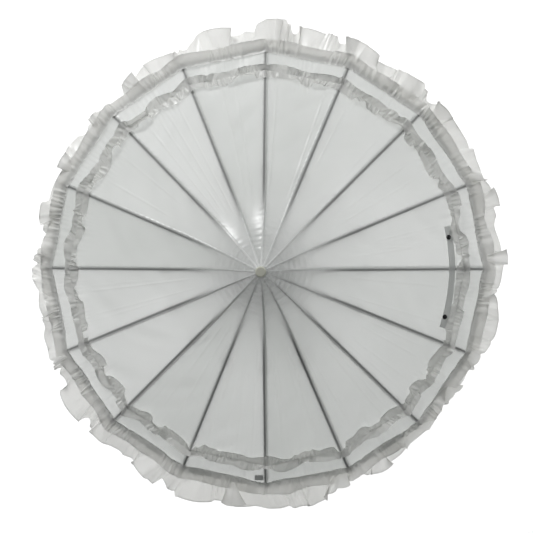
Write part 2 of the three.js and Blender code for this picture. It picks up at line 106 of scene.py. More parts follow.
# %% Places read from the frame
joints = {joint["name"]: joint for joint in frame["joints"]}
notch = Vector(joints["fold"]["pos_m"])
bracket = Vector(joints["stretcher_01_hinge"]["pos_m"])
RIBS = sum(name.startswith("rib_") for name in frame["bodies"])
HALF = math.pi / RIBS
along = (bracket - notch).normalized()
slope = -along.z / along.x
rib_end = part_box("rib_01")[1].x
cap_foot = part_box("ferrule_cap")[0].z
ferrule_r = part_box("ferrule")[1].x
PIVOT_R = notch.x
print(RIBS, "ribs, slope", round(slope, 3), "tips at", round(rib_end, 3))


def rib_name(k):
    return f"rib_{k + 1:02d}"


def rib_angle(k):
    return 2 * HALF * k


# Each turns a point over the first rib to the same place over another.
turn_of = [Matrix.Rotation(rib_angle(k), 4, "Z") for k in range(RIBS)]

# %% [markdown]
# ## The cover's shape
# Satin gores hang from a peak under the ferrule's cap, come down in a hollow curve and lie on the outer
# half of the ribs. Between two ribs the cloth is pulled straight, so a ring of it is a sixteen-sided
# figure, and it sags a little in mid-gore. One height function gives all of this, and every sheet is
# built on it.

# %% The height of the cloth
PEAK_R = 8 * MM
LAY_R = 195 * MM
HEM_R = rib_end + 1 * MM
PEAK_H = 76.6 * MM
PEAK_POWER = 3.2
OVER_RIB = 5.95 * MM
GORE_SAG = 4 * MM
CLOTH = 0.3 * MM
STEEP = math.hypot(1, slope)


def cloth_height(r):
    """Height of the cloth over a rib at distance r from the shaft."""
    on_ribs = notch.z + OVER_RIB * STEEP + CLOTH / 2 - (r - PIVOT_R) * slope
    at_peak = notch.z + OVER_RIB * STEEP + CLOTH / 2 - (PEAK_R - PIVOT_R) * slope
    share = np.clip((r - PEAK_R) / (LAY_R - PEAK_R), 0, 1)
    return on_ribs + (notch.z + PEAK_H - at_peak) * (1 - share) ** PEAK_POWER


def gore_sag(r, across):
    """How far the cloth hangs below the line between two ribs. across is 0 on a rib, 1 in mid-gore."""
    spread = np.clip((r - PEAK_R) / (LAY_R - PEAK_R), 0, 1)
    return GORE_SAG * spread * (1 - (1 - np.abs(across)) ** 2)


def cover_point(k, r, across):
    """Points of the cover over rib k. across runs from -1 to 1, mid-gore to mid-gore."""
    side = np.abs(across)
    x = r * (1 - side * math.sin(HALF) ** 2)
    y = across * r * math.sin(HALF) * math.cos(HALF)
    z = cloth_height(r) - gore_sag(r, across)
    cos, sin = math.cos(rib_angle(k)), math.sin(rib_angle(k))
    return np.stack([x * cos - y * sin, x * sin + y * cos, z], -1)


def waves(seed, low, high, count):
    """A smooth function of the angle round the shaft, repeating once a turn, about -1 to 1."""
    rng = np.random.default_rng(seed)
    turns = rng.integers(low, high + 1, count)
    phases = rng.uniform(0, 2 * math.pi, count)
    return lambda angle: sum(np.sin(n * angle + p) for n, p in zip(turns, phases)) / math.sqrt(count)


# %% [markdown]
# ## Sheets of cloth
# A sheet starts as a grid of points. It could be modelled from a subdivided plane, but a curved cover
# needs each point on the height function, so the grid is worked out and turned into a mesh. The grid also
# carries a UV map in metres along the threads, and two attributes: the number of plies, because seams and
# hems are folded cloth and let less light through, and a tone, because each gore is cut from another part
# of the roll.

# %% From grid to sheet
RIM_ANGLE = math.radians(75)


def grid_sheet(name, points, thickness=CLOTH, **fields):
    """A closed thin sheet from points[row, column] = (x, y, z), with its threads' UV map and attributes."""
    rows, columns = points.shape[:2]
    number = np.arange(rows * columns).reshape(rows, columns)
    quads = np.stack([number[:-1, :-1], number[1:, :-1], number[1:, 1:], number[:-1, 1:]], -1)
    mesh = bpy.data.meshes.new(name)
    mesh.from_pydata(points.reshape(-1, 3).tolist(), [], quads.reshape(-1, 4).tolist())
    steps_u = np.linalg.norm(np.diff(points, axis=1), axis=2)
    steps_v = np.linalg.norm(np.diff(points, axis=0), axis=2)
    u = np.concatenate([np.zeros((rows, 1)), np.cumsum(steps_u, axis=1)], axis=1)
    v = np.concatenate([np.zeros((1, columns)), np.cumsum(steps_v, axis=0)], axis=0)
    u -= u[:, columns // 2:columns // 2 + 1]
    uv = np.stack([u, v], -1).reshape(-1, 2)
    loops = np.empty(len(mesh.loops), int)
    mesh.loops.foreach_get("vertex_index", loops)
    mesh.uv_layers.new(name="threads").data.foreach_set("uv", uv[loops].ravel())
    for field, values in fields.items():
        values = np.broadcast_to(values, (rows, columns))
        mesh.attributes.new(field, "FLOAT", "POINT").data.foreach_set("value", values.reshape(-1).copy())
    piece = bpy.data.objects.new(name, mesh)
    bpy.context.scene.collection.objects.link(piece)
    solid = piece.modifiers.new("cloth", "SOLIDIFY")
    solid.thickness = thickness
    solid.offset = 0
    bpy.ops.object.select_all(action="DESELECT")
    bpy.context.view_layer.objects.active = piece
    piece.select_set(True)
    bpy.ops.object.modifier_apply(modifier="cloth")
    bpy.ops.object.shade_smooth_by_angle(angle=RIM_ANGLE)
    return piece


def flat_size(points):
    """The size of the rectangle that a gathered strip was cut to: its mean length and its mean width."""
    length = np.linalg.norm(np.diff(points, axis=1), axis=2).sum(axis=1).mean()
    width = np.linalg.norm(np.diff(points, axis=0), axis=2).sum(axis=0).mean()
    return float(length), float(width)


# %% [markdown]
# ## The gores
# Three things make satin gores look sewn rather than moulded: a felled seam beside each rib, folded cloth
# that puckers and lets less light through; short ripples across the steep part near the peak, where the
# cloth is cut on a curve; and fold marks from the packet. All are shaped in the sheet. The cover is made
# in three stretches: a peak that stays on the shaft, shoulders that stay where they are made, and panels
# that ride on the ribs.

# %% Creases and puckers
SEAM_HALF = 1.7 * MM
SEAM_HIGH = 0.5 * MM
SEAM_ON_RIB_R = 0.03
SEAM_DRIFT = 0.14
PUCKER_HIGH = 0.22 * MM
PUCKER_STEP = 1.9 * MM
PUCKER_WIDE = 7 * MM
PUCKER_FROM = 60 * MM
RIPPLE_HIGH = 0.95 * MM
DRAPE_HIGH = 1.3 * MM
TUCK_HIGH = 0.3 * MM
RIPPLE_END = 112 * MM
BAND_R = HEM_R - 47 * MM
pucker_tone = waves(11, 3, 40, 12)
low_tone = waves(12, 3, 17, 6)
gore_tone = np.random.default_rng(13).uniform(0, 1, RIBS)
seam_side = np.random.default_rng(15).choice([-1, 1], RIBS)
seam_shift = np.random.default_rng(14).uniform(2.2, 5.0, RIBS) * seam_side * MM
ripple_strength = np.random.default_rng(16).uniform(0.45, 1.0, RIBS)


def gore_number(k, across):
    """The gore that a point beside rib k belongs to, counted from the gore that follows the first rib."""
    return (k - (across < 0)) % RIBS


def from_seam(k, r, across):
    """Distance from the seam, which runs beside the rib, further off as the gores widen."""
    drifted = np.clip((r - SEAM_ON_RIB_R) / SEAM_DRIFT, 0, 1)
    return np.abs(across * r * math.sin(HALF) - seam_shift[k] * drifted)


def mid_gore(across, power):
    """1 in mid-gore, falling to 0 on the ribs."""
    return np.sin(math.pi * np.clip(np.abs(across), 0, 1) / 2) ** power


def lift_of(k, r, across):
    """How far the cloth stands off its smooth shape, in metres."""
    sideways = across * math.sin(HALF) * math.cos(HALF)
    outward = 1 - np.abs(across) * math.sin(HALF) ** 2
    angle = rib_angle(k) + np.arctan2(sideways, outward)
    off_seam = from_seam(k, r, across)
    seam = SEAM_HIGH * np.exp(-(off_seam / SEAM_HALF) ** 4)
    pucker = PUCKER_HIGH * (1 + np.sin(r / PUCKER_STEP + 3 * pucker_tone(angle)))
    pucker = pucker * np.exp(-(off_seam / PUCKER_WIDE) ** 2)
    pucker = pucker * np.clip((r - PUCKER_FROM) / PUCKER_FROM, 0, 1)
    gore = gore_number(k, across)
    near_peak = np.clip((r - PEAK_R) / (10 * MM), 0, 1) * np.clip((RIPPLE_END - r) / (55 * MM), 0, 1)
    lean = 0.5 * (1 - np.abs(across)) * np.sign(across) * np.sin(3.0 * gore)
    fine = np.sin(r / (1.05 * MM + 0.004 * r) + lean + 2.1 * gore)
    coarse = np.sin(r / (2.3 * MM) + 1.3 * gore)
    ripple = RIPPLE_HIGH * ripple_strength[gore] * near_peak * (fine + 0.5 * coarse) * mid_gore(across, 0.5)
    drape = DRAPE_HIGH * low_tone(2 * angle + 9 * r) * np.clip((r - LAY_R / 2) / LAY_R, 0, 1)
    drape = drape * mid_gore(across, 1)
    tucks = np.sin(angle * 232 + 4 * pucker_tone(angle)) + 0.6 * np.sin(angle * 149 + 5 * low_tone(angle))
    sewn = np.exp(-((r - BAND_R) / (24 * MM)) ** 2) + np.exp(-((r - HEM_R) / (22 * MM)) ** 2)
    return seam + pucker + ripple + drape + TUCK_HIGH * tucks * sewn * mid_gore(across, 1)


CREASE_HALF = 1.8 * MM
CREASE_END = 0.37


def crease_of(k, r, across):
    """The fold marks that some gores keep, thin ridges running out from the peak."""
    gore = gore_number(k, across)
    crease = np.zeros_like(r)
    for mark in range(2):
        rng = np.random.default_rng(40 + mark)
        place = rng.uniform(0.3, 0.9, RIBS)[gore]
        height = rng.choice([0.0, 0.3, 0.6], RIBS)[gore] * MM
        begins = rng.uniform(0.10, 0.22, RIBS)[gore]
        reach = np.clip((r - begins) / 0.05, 0, 1) * np.clip((CREASE_END - r) / 0.04, 0, 1)
        off_mark = (np.abs(across) - place) * r * math.sin(HALF)
        crease += height * reach * np.exp(-(off_mark / CREASE_HALF) ** 2)
    return crease


SEAMS_MEET = 120 * MM
HEM_FOLD = 8 * MM


def gore_sheet(name, ribs, rings, columns):
    """One sheet of the cover over the given ribs, joined up where it goes all the way round."""
    across = np.linspace(-1, 1, columns)
    strips, plies, tones = [], [], []
    for k in ribs:
        r, s = np.meshgrid(rings, across, indexing="ij")
        points = cover_point(k, r, s)
        points[..., 2] += lift_of(k, r, s) + crease_of(k, r, s)
        seam_plies = 0.9 + 1.8 * np.clip((SEAMS_MEET - r) / (70 * MM), 0, 1)
        seam = seam_plies * np.exp(-(from_seam(k, r, s) / SEAM_HALF) ** 4)
        turnings = 0.3 * np.clip((85 * MM - r) / (65 * MM), 0, 1)
        plies.append(1 + turnings + seam + 0.8 * (r > HEM_R - HEM_FOLD))
        tones.append(gore_tone[gore_number(k, s)])
        strips.append(points)
    whole = slice(None) if len(ribs) == 1 else slice(0, -1)
    fields = [np.concatenate([part[:, whole] for part in parts], axis=1) for parts in (strips, plies, tones)]
    if len(ribs) > 1:
        fields = [np.concatenate([field, field[:, :1]], axis=1) for field in fields]
    return grid_sheet(name, fields[0], plies=fields[1], tone=fields[2])


SHOULDER_R = 20 * MM
PANEL_R = 84 * MM
peak_rings = np.linspace(PEAK_R, SHOULDER_R, 11)
shoulder_rings = np.linspace(SHOULDER_R, PANEL_R, 45)
RIPPLED_TO = 120 * MM
PLAIN_TO = 350 * MM
panel_rings = np.concatenate([
    np.linspace(PANEL_R, RIPPLED_TO, 24)[:-1],
    np.arange(RIPPLED_TO, PLAIN_TO, 3.2 * MM),
    np.linspace(PLAIN_TO, HEM_R, 34),
])
peak = gore_sheet("cover_peak", range(RIBS), peak_rings, 17)
shoulders = [gore_sheet(f"cover_shoulder_{k + 1:02d}", [k], shoulder_rings, 41) for k in range(RIBS)]
panels = [gore_sheet(f"cover_panel_{k + 1:02d}", [k], panel_rings, 85) for k in range(RIBS)]
print("cover panel:", len(panels[0].data.polygons), "faces")

# %% [markdown]
# ## The frills
# A frill is a strip of satin cut longer than the edge it is sewn to, by as much as half in its fullest
# stretch, drawn up on a thread and sewn down. At the stitching the spare length is a row of small tucks,
# and towards the free edge the tucks run together into flutes that fold over each other. Cloth simulation
# can make one, but sixteen stretches of three frills would take too long, so the flutes are worked out.
# The strip's width can't stretch, so where its edge is carried up, down or sideways it reaches less far
# out, and that makes its outline uneven.

# %% A gathered strip
def chord_radius(angle, r):
    """Where a straight edge between two ribs' points at r is, at this angle round the shaft."""
    from_middle = np.abs((angle % (2 * HALF)) - HALF)
    return r * math.cos(HALF) / np.cos(from_middle)


def edge_line(k, r, columns):
    """Points along the cover's ring at r over rib k, and the directions down, off and along the slope."""
    angle = rib_angle(k) + np.linspace(-HALF, HALF, columns)
    radius = chord_radius(angle, r)
    across = 1 - np.abs((angle % (2 * HALF)) - HALF) / HALF
    z = cloth_height(np.full_like(angle, r)) - gore_sag(r, across)
    out = np.stack([np.cos(angle), np.sin(angle), 0 * angle], -1)
    side = np.stack([-np.sin(angle), np.cos(angle), 0 * angle], -1)
    up = np.array([0.0, 0.0, 1.0])
    line = out * radius[:, None]
    line[:, 2] = z
    down_slope = (out - slope * up) / STEEP
    off_slope = (slope * out + up) / STEEP
    return angle, line, down_slope, off_slope, side


def creased(phase, sharp=0.985):
    """A wave with pressed crests, from -1 to 1."""
    return np.arcsin(sharp * np.sin(phase)) / math.asin(sharp)


WAVE_TURNS = [(7, 31), (5, 37), (3, 19), (9, 43)]
snake = waves(90, 19, 43, 5)


def frill_points(k, style, columns, rows):
    """The grid of one stretch of frill over rib k, from its stitching to its free edge."""
    angle, line, down_slope, off_slope, side = edge_line(k, style["r"], columns)
    pace, full, lean, roll = (waves(style["seed"] + i, *turns, 8) for i, turns in enumerate(WAVE_TURNS))
    phase = style["flutes"] * angle + 1.1 * pace(angle)
    tall = style["tall"] * np.clip(1 + 0.75 * full(angle), 0.25, 1.8)
    swing = style["swing"] * np.clip(1 + 0.8 * roll(angle), 0.1, 2.2)
    second = 0.35 * creased(3 * phase + 2 * roll(angle))
    edge_up = tall * (creased(phase) + second + style["lies"]) + style["rise"] * (1 + lean(angle + 0.4))
    edge_side = -swing * creased(2 * phase + 0.7 * full(angle)) + style["lean"] * lean(angle)
    width = style["width"](angle) if callable(style["width"]) else style["width"]
    left_over = np.maximum(width ** 2 - edge_up ** 2 - edge_side ** 2, (0.45 * width) ** 2)
    reach = np.sqrt(left_over) * style["side"]
    v = np.linspace(0, 1, rows)[:, None]
    grown = v ** 1.25
    snaked = style["snake"] * snake(angle) * v
    tuck = style["pleat"] * np.minimum(1, 10 * v + 0.4) * (1 - style["fades"] * v)
    tuck = tuck * creased(style["tucks"] * phase + 3 * roll(angle)) * np.clip(1 + 0.6 * lean(angle), 0.2, 2)
    crease = creased(style["tucks"] / 2 * phase + 2 * pace(angle + 0.3) + 1.5 * v)
    crease = style["crease"] * np.sin(math.pi * v ** 0.7) * crease
    sag = style["droop"] * v ** 2
    off = np.maximum(grown * edge_up + tuck + crease, style["least"] * v) - sag + style["clear"]
    down = reach * v + snaked
    along = grown * edge_side
    moves = [(down, down_slope), (off, off_slope), (along, side)]
    return line[None] + sum(far[..., None] * way[None] for far, way in moves)


ROLLED_HEM = 1.5 * MM
STITCHED_HALF = 2.5 * MM


def frill_sheet(name, k, styles, columns, rows):
    """A stretch of frill with a rolled hem, three plies thick, along each free edge.
    A frill sewn down along its middle has two styles, one for each side of the stitching."""
    halves = [frill_points(k, style, columns, rows) for style in styles]
    points = halves[0] if len(halves) == 1 else np.concatenate([halves[1][::-1], halves[0][1:]])
    run = np.linalg.norm(np.diff(points, axis=0), axis=2)
    down = np.concatenate([np.zeros((1, points.shape[1])), np.cumsum(run, axis=0)])
    rim = np.minimum(down[-1:] - down, down) if len(halves) == 2 else down[-1:] - down
    hem = np.exp(-(rim / ROLLED_HEM) ** 2)
    sewn_row = len(halves[1]) - 1 if len(halves) == 2 else 0
    stitched = np.exp(-((down - down[sewn_row:sewn_row + 1]) / STITCHED_HALF) ** 2)
    piece = grid_sheet(name, points, plies=1 + 2.0 * hem + 0.8 * stitched, tone=0.7)
    piece["flat"] = flat_size(points)
    return piece


# The long frill doesn't hang evenly: it reaches further on one side of the parasol than on the other.
REACH_MM = [472, 476, 488, 464, 464, 486, 489, 455]
REACH_UNEVEN_MM = 6.5
reach_wave = waves(97, 9, 31, 6)


def frill_reach(angle):
    """Width of the long frill from the hem out, smooth between the eight places where it is set."""
    turns = angle / (2 * math.pi) * len(REACH_MM)
    low = np.floor(turns).astype(int)
    part = turns - low
    part = part * part * (3 - 2 * part)
    reach = np.array(REACH_MM)
    ring = (1 - part) * reach[low % len(REACH_MM)] + part * reach[(low + 1) % len(REACH_MM)]
    return (ring + REACH_UNEVEN_MM * reach_wave(angle)) * MM - chord_radius(angle, HEM_R)


LONG = dict(
    seed=100, r=HEM_R - 3 * MM, side=1, width=frill_reach, flutes=29, tucks=9, tall=17 * MM, swing=9.5 * MM,
    lean=11 * MM, rise=1 * MM, lies=0.1, crease=1.5 * MM, pleat=0.9 * MM, fades=0.8, droop=3 * MM, snake=0,
    least=-60 * MM, clear=0.2 * MM)
SHORT = dict(
    seed=200, r=HEM_R - 9 * MM, side=1, width=25 * MM, flutes=27, tucks=8, tall=4 * MM, swing=3 * MM,
    lean=2 * MM, rise=1 * MM, lies=0.9, crease=0.8 * MM, pleat=1.1 * MM, fades=0.5, droop=0.5 * MM,
    snake=2 * MM, least=0.8 * MM, clear=1.6 * MM)
SHORT_INNER = {
    **SHORT, "seed": 250, "side": -1, "width": 4 * MM, "tall": 1 * MM, "swing": 0.5 * MM, "snake": 0}
UPPER = dict(
    seed=300, r=BAND_R, side=1, width=14 * MM, flutes=31, tucks=9, tall=4.5 * MM, swing=3.5 * MM,
    lean=4 * MM, rise=1.5 * MM, lies=0.9, crease=1.1 * MM, pleat=0.9 * MM, fades=0.6, droop=0,
    snake=3.6 * MM, least=0.8 * MM, clear=1.2 * MM)
UPPER_INNER = {**UPPER, "seed": 350, "side": -1, "width": 15 * MM}
FRILL_COLUMNS = 145


def frills(name, styles, rows):
    return [frill_sheet(f"{name}_{k + 1:02d}", k, styles, FRILL_COLUMNS, rows) for k in range(RIBS)]


long_frills = frills("frill_long", [LONG], 22)
short_frills = frills("frill_short", [SHORT, SHORT_INNER], 12)
upper_frills = frills("frill_upper", [UPPER, UPPER_INNER], 12)
print("long frill, cut", [round(side, 3) for side in long_frills[0]["flat"]])

# %% [markdown]
# ## The closing strap
# A doubled band of the same satin, sewn to the cover and buttoned round it when it is closed. It lies
# loose under the upper frill with a press stud at each end. It is a plain narrow strip, so it is laid out
# directly.

# %% Strap
STRAP_W = 12 * MM
STRAP_LENGTH = 200 * MM
STRAP_R = BAND_R - 25 * MM
STRAP_TURN = math.radians(-2.5)
STRAP_LIFT = 1.9 * MM


def strap_sheet():
    steps = 81
    rows = 9
    angle = STRAP_TURN + np.linspace(-0.5, 0.5, steps) * STRAP_LENGTH / STRAP_R
    r = STRAP_R + np.linspace(-0.5, 0.5, rows)[:, None] * STRAP_W
    ring = r * np.cos(np.abs(np.abs(angle) % (2 * HALF) - HALF)) / math.cos(HALF)
    z = cloth_height(ring) + STRAP_LIFT + 0.2 * MM * np.sin(40 * angle)
    points = np.stack([r * np.cos(angle), r * np.sin(angle), z], -1)
    plies = np.full((rows, steps), 1.7)
    plies[[0, -1]] = 2.6
    return grid_sheet("strap", points, thickness=0.8 * MM, plies=plies, tone=0.3)


strap = strap_sheet()
print("strap:", round(STRAP_LENGTH / MM), "mm long,", len(strap.data.polygons), "faces")

# %% [markdown]
# ## The hem loop
# A short loop of folded ribbon is caught in the hem beside one rib, to hang the closed parasol by. It is
# one narrow strip laid out along its own path, out from the seam, round and back on top of itself.

# %% Hem loop
LOOP_RIB = RIBS * 3 // 4
LOOP_W = 10.5 * MM
LOOP_REACH = 17 * MM
LOOP_GAP = 1.6 * MM
LOOP_R = HEM_R - 22 * MM
LOOP_FROM_RIB = 4 * MM
LOOP_LIFT = 0.9 * MM


def hem_loop_sheet():
    """The strip's path is two straight runs and the half circle that joins them."""
    run = LOOP_REACH - LOOP_GAP / 2
    bend = np.linspace(-math.pi / 2, math.pi / 2, 9)[1:-1]
    stretches = [np.linspace(0, run, 9), run + LOOP_GAP / 2 * np.cos(bend), np.linspace(run, 0, 9)]
    out = np.concatenate(stretches)
    up = np.concatenate([np.zeros(9), LOOP_GAP / 2 * (1 + np.sin(bend)), np.full(9, LOOP_GAP)])
    r = LOOP_R + np.linspace(-0.5, 0.5, 5)[:, None] * LOOP_W
    x = r + 0 * out
    y = -LOOP_FROM_RIB - out + 0 * r
    z = cloth_height(r) + LOOP_LIFT + up
    points = np.stack([x, y, z], -1)
    turned = np.array(turn_of[LOOP_RIB].to_3x3())
    piece = grid_sheet("hem_loop", points @ turned.T, thickness=0.5 * MM, plies=2.2, tone=0.2)
    piece["flat"] = flat_size(points)
    return piece


hem_loop = hem_loop_sheet()

# %% [markdown]
# ## Small hardware
# Rib tips, stretcher pins and the two hinge wires are small turned or bent pieces, and the washer under the
# cap is a small sheet. Tips and pins are each modelled once with the mesh operators and copied to their
# sixteen places, each copy with its own mesh.

# %% Helpers for modelling by operator
def only(piece):
    bpy.ops.object.select_all(action="DESELECT")
    bpy.context.view_layer.objects.active = piece
    piece.select_set(True)


def named(name):
    piece = bpy.context.active_object
    piece.name = piece.data.name = name
    return piece


def faces_where(piece, test):
    """Selects the faces whose middle and normal pass the test, in edit mode."""
    bpy.ops.object.mode_set(mode="EDIT")
    bpy.ops.mesh.select_mode(type="FACE")
    bpy.ops.mesh.select_all(action="DESELECT")
    shape = bmesh.from_edit_mesh(piece.data)
    for face in shape.faces:
        face.select_set(bool(test(face.calc_center_median(), face.normal)))
    bmesh.update_edit_mesh(piece.data)


def place(piece, matrix):
    """Moves a piece by changing its mesh, so that its object stays at the origin."""
    piece.data.transform(matrix @ piece.matrix_basis)
    piece.matrix_basis = Matrix()
    piece.data.update()


def copy_round(piece, name, matrices):
    """Copies of a piece, each with its own mesh, and the pattern itself used as the first."""
    copies = []
    for i in range(len(matrices)):
        twin = piece if i == 0 else piece.copy()
        twin.data = piece.data.copy()
        twin.name = twin.data.name = f"{name}_{i + 1:02d}"
        if i:
            bpy.context.scene.collection.objects.link(twin)
        copies.append(twin)
    for twin, matrix in zip(copies, matrices):
        place(twin, matrix)
    return copies


rib_line = Matrix.Rotation(math.atan(slope), 4, "Y")

# %% Rib tips: a pressed sleeve with a ball end and a neck for the thread that ties the hem to it
TIP_R = 2.3 * MM
TIP_L = 9 * MM
bpy.ops.object.select_all(action="DESELECT")
bpy.ops.mesh.primitive_cylinder_add(vertices=20, radius=TIP_R, depth=TIP_L, rotation=(0, math.pi / 2, 0))
tip = named("rib_tip")
bpy.ops.object.transform_apply(location=False, rotation=True, scale=False)
faces_where(tip, lambda middle, normal: normal.x > 0.9)
bpy.ops.mesh.inset(thickness=0.9 * MM)
bpy.ops.mesh.extrude_region_move(TRANSFORM_OT_translate={"value": (1.2 * MM, 0, 0)})
bpy.ops.mesh.extrude_region_move(TRANSFORM_OT_translate={"value": (0.8 * MM, 0, 0)})
bpy.ops.transform.resize(value=(1, 1.75, 1.75))
bpy.ops.mesh.extrude_region_move(TRANSFORM_OT_translate={"value": (1.6 * MM, 0, 0)})
bpy.ops.mesh.extrude_region_move(TRANSFORM_OT_translate={"value": (1.3 * MM, 0, 0)})
bpy.ops.transform.resize(value=(1, 0.55, 0.55))
bpy.ops.object.mode_set(mode="OBJECT")
bevel = tip.modifiers.new("edges", "BEVEL")
bevel.width = 0.25 * MM
bevel.segments = 2
only(tip)
bpy.ops.object.modifier_apply(modifier="edges")
bpy.ops.object.shade_smooth_by_angle(angle=math.radians(35))
rib_top = OVER_RIB - 2.3 * MM
rib_reach = (rib_end - PIVOT_R) * STEEP
tip_at = Matrix.Translation(notch) @ rib_line @ Matrix.Translation((rib_reach - 2 * MM, 0, rib_top))
tips = copy_round(tip, "rib_tip", [turn @ tip_at for turn in turn_of])
print("rib tips reach", round(max(v.co.x for v in tips[0].data.vertices), 4))

# %% [markdown]
# ## Press studs
# The strap's stud and socket are turned brass caps in black enamel. Their CAD solids have the right shape,
# so each is copied, its loose triangles are merged and its edges eased, and the copy rides on the strap's
# rib with the strap, while the CAD solid is hidden.

# %% Press studs
def eased_copy(node, name, edge):
    """A CAD node's shape as a piece of its own, with eased edges."""
    mesh = frame["nodes"][node].data.copy()
    piece = bpy.data.objects.new(name, mesh)
    bpy.context.scene.collection.objects.link(piece)
    only(piece)
    bpy.ops.object.mode_set(mode="EDIT")
    bpy.ops.mesh.select_all(action="SELECT")
    bpy.ops.mesh.remove_doubles(threshold=0.005 * MM)
    bpy.ops.mesh.dissolve_limited(angle_limit=math.radians(1))
    bpy.ops.object.mode_set(mode="OBJECT")
    rim = piece.modifiers.new("edges", "BEVEL")
    rim.width = edge
    rim.segments = 2
    bpy.ops.object.modifier_apply(modifier="edges")
    bpy.ops.object.shade_smooth_by_angle(angle=math.radians(35))
    return piece


STUD_NODES = ("snap_stud", "snap_socket")
studs = [eased_copy(node, f"{node}_cap", 0.25 * MM) for node in STUD_NODES]
print("stud", len(studs[0].data.polygons), "faces")

# %% [markdown]
# ## Pins and wires
# Each stretcher's fork is pinned to the lug of its rib by a headed rivet. The ribs' eyes hang on one ring
# of wire let into the notch and the stretchers' eyes on another in the runner, and the ends of each ring
# meet between two slots. A rivet is a cylinder with a raised head at each end. A wire follows a path, so
# it is a curve with a round section.

# %% Stretcher rivets
RIVET_R = 1.25 * MM
RIVET_L = 5.6 * MM
CHEEK_OUTSIDE = 2.35 * MM
bpy.ops.object.select_all(action="DESELECT")
bpy.ops.mesh.primitive_cylinder_add(
    vertices=16, radius=RIVET_R, depth=RIVET_L, rotation=(math.pi / 2, 0, 0))
rivet = named("stretcher_rivet")
bpy.ops.object.transform_apply(location=False, rotation=True, scale=False)
for end in (-1, 1):
    faces_where(rivet, lambda middle, normal: normal.y * end > 0.9)
    bpy.ops.mesh.inset(thickness=0.35 * MM)
    bpy.ops.mesh.extrude_region_move(TRANSFORM_OT_translate={"value": (0, 0.25 * MM * end, 0)})
    bpy.ops.object.mode_set(mode="OBJECT")
bpy.ops.object.mode_set(mode="EDIT")
for cut_y in (-CHEEK_OUTSIDE, CHEEK_OUTSIDE):
    bpy.ops.mesh.select_all(action="SELECT")
    bpy.ops.mesh.bisect(plane_co=(0, cut_y, 0), plane_no=(0, 1, 0))
bpy.ops.object.mode_set(mode="OBJECT")
print("rivet", len(rivet.data.vertices), "vertices")
only(rivet)
bpy.ops.object.shade_smooth_by_angle(angle=math.radians(40))
rivets = copy_round(rivet, "stretcher_rivet", [turn @ Matrix.Translation(bracket) for turn in turn_of])


# %% Hinge wires
def hinge_wire(name, centre, radius, wire_r=0.6 * MM):
    """A ring of wire whose two cut ends meet between two slots."""
    steps = 96
    gap = 0.12
    path = []
    for i in range(steps + 1):
        angle = HALF + gap / 2 + (2 * math.pi - gap) * i / steps
        path.append(Vector((radius * math.cos(angle), radius * math.sin(angle), 0)))
    curve = bpy.data.curves.new(name, "CURVE")
    curve.dimensions = "3D"
    spline = curve.splines.new("POLY")
    spline.points.add(len(path) - 1)
    for point, at in zip(spline.points, path):
        point.co = (*(at + centre), 1)
    curve.bevel_depth = wire_r
    curve.bevel_resolution = 3
    curve.use_fill_caps = True
    wire = bpy.data.objects.new(name, curve)
    bpy.context.scene.collection.objects.link(wire)
    only(wire)
    bpy.ops.object.convert(target="MESH")
    return bpy.context.active_object


runner_pivot = Vector(joints["runner_hinge"]["pos_m"])
notch_wire = hinge_wire("notch_wire", Vector((0, 0, notch.z)), PIVOT_R)
runner_wire = hinge_wire("runner_wire", Vector((0, 0, runner_pivot.z)), PIVOT_R)

# %% [markdown]
# ## The washer under the cap
# A disc of the cover's satin, doubled, is threaded on the ferrule between the cover's peak and the cap,
# so that the cap doesn't chafe the gores. It is cut from a circle, pinched into small pleats where the
# cap presses it.

# %% Washer
WASHER_R = 12.4 * MM
WASHER_BORE_R = ferrule_r - 1.8 * MM


def washer_sheet():
    angle = np.linspace(0, 2 * math.pi, 97)[None]
    r = np.linspace(WASHER_BORE_R, WASHER_R, 10)[:, None]
    share = (r - r[0]) / (r[-1] - r[0])
    z = cap_foot - 0.55 * MM - 2.6 * MM * share ** 2 + 0.35 * MM * share * np.sin(RIBS * angle)
    points = np.stack([r * np.cos(angle), r * np.sin(angle), z + 0 * angle], -1)
    return grid_sheet("cap_washer", points, thickness=0.4 * MM, plies=2.0, tone=0.5)


washer = washer_sheet()

# %% [markdown]
# # Finishes
# Every finish is a node material. One helper adds a node with its settings and links, and another turns
# an sRGB hex value into the linear numbers that the shaders use. Patterns are scaled from their real size
# in millimetres.

# %% Helpers for materials
def colour(code):
    parts = [int(code[i:i + 2], 16) / 255 for i in (1, 3, 5)]
    return (*[part / 12.92 if part <= 0.04045 else ((part + 0.055) / 1.055) ** 2.4 for part in parts], 1)


def add(material, kind, settings=None, **inputs):
    """Adds a node. settings are its own options; inputs are socket values, or sockets to link from."""
    node = material.node_tree.nodes.new(kind)
    for key, value in (settings or {}).items():
        setattr(node, key, value)
    for key, value in inputs.items():
        by_number = key[1:].isdigit()
        socket = node.inputs[int(key[1:])] if by_number else node.inputs[key.replace("_", " ")]
        if isinstance(value, bpy.types.NodeSocket):
            material.node_tree.links.new(value, socket)
        else:
            socket.default_value = value
    return node


def new_material(name):
    material = bpy.data.materials.new(name)
    material.use_nodes = True
    material.node_tree.nodes.clear()
    return material


def finish_material(material, shader):
    add(material, "ShaderNodeOutputMaterial", Surface=shader)
    return material


def repeats(mm):
    """Texture scale for a pattern that repeats every so many millimetres."""
    return 1 / (mm * MM)


def darker(linear, share):
    return (*[share * part for part in linear[:3]], 1)


def two_tones(material, factor, dark, light):
    """A colour between two others, by a factor that varies over the surface."""
    mix = add(material, "ShaderNodeMix", {"data_type": "RGBA"})
    material.node_tree.links.new(factor, mix.inputs[0])
    mix.inputs[6].default_value = dark
    mix.inputs[7].default_value = light
    return mix.outputs[2]


